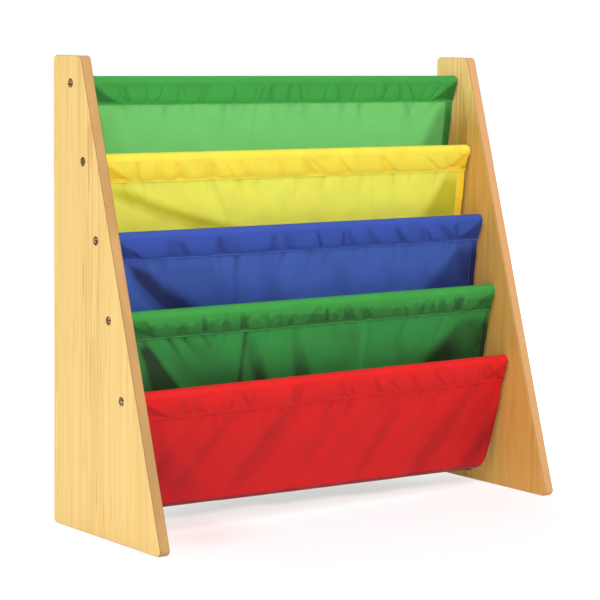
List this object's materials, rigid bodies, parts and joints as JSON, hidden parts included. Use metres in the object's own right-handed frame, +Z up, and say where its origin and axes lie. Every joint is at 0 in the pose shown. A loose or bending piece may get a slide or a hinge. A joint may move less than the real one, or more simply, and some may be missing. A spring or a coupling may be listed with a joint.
{
  "type": "sling bookshelf",
  "caption": "Child's sling bookshelf: cloth pockets hung from dowels that are bolted between two sloping side boards.",
  "frame": {"origin": "on the floor, in the middle of the footprint", "axes": "+X along the dowels from the left board to the right board as seen from the front, +Y to the rear, +Z up"},
  "size_m": [0.656, 0.2446, 0.6],
  "materials": {
    "board_laminate": "satin wood-print laminate, pale honey",
    "dowel_wood": "sanded plain wood",
    "bolt_bronze": "dark bronze plating",
    "insert_zinc": "yellow zinc plating",
    "green_cloth": "thin woven nylon, faint sheen",
    "yellow_cloth": "thin woven nylon, faint sheen",
    "blue_cloth": "thin woven nylon, faint sheen",
    "red_cloth": "thin woven nylon, faint sheen"
  },
  "bodies": {
    "root": {"left_side_board": "board_laminate", "right_side_board": "board_laminate", "dowel_1": "dowel_wood", "dowel_2": "dowel_wood", "dowel_3": "dowel_wood", "dowel_4": "dowel_wood", "dowel_5": "dowel_wood", "left_bolt_1": "bolt_bronze", "left_bolt_2": "bolt_bronze", "left_bolt_3": "bolt_bronze", "left_bolt_4": "bolt_bronze", "left_bolt_5": "bolt_bronze", "right_bolt_1": "bolt_bronze", "right_bolt_2": "bolt_bronze", "right_bolt_3": "bolt_bronze", "right_bolt_4": "bolt_bronze", "right_bolt_5": "bolt_bronze", "left_insert_1": "insert_zinc", "left_insert_2": "insert_zinc", "left_insert_3": "insert_zinc", "left_insert_4": "insert_zinc", "left_insert_5": "insert_zinc", "right_insert_1": "insert_zinc", "right_insert_2": "insert_zinc", "right_insert_3": "insert_zinc", "right_insert_4": "insert_zinc", "right_insert_5": "insert_zinc", "dowel_sleeve_1": "green_cloth", "dowel_sleeve_2": "yellow_cloth", "dowel_sleeve_3": "blue_cloth", "dowel_sleeve_4": "green_cloth", "dowel_sleeve_5": "red_cloth", "pocket_1_back_panel": "green_cloth", "pocket_1_front_panel": "green_cloth", "pocket_2_back_panel": "yellow_cloth", "pocket_2_front_panel": "yellow_cloth", "pocket_3_back_panel": "blue_cloth", "pocket_3_front_panel": "blue_cloth", "pocket_4_back_panel": "green_cloth", "pocket_4_front_panel": "red_cloth"}
  },
  "joints": []
}
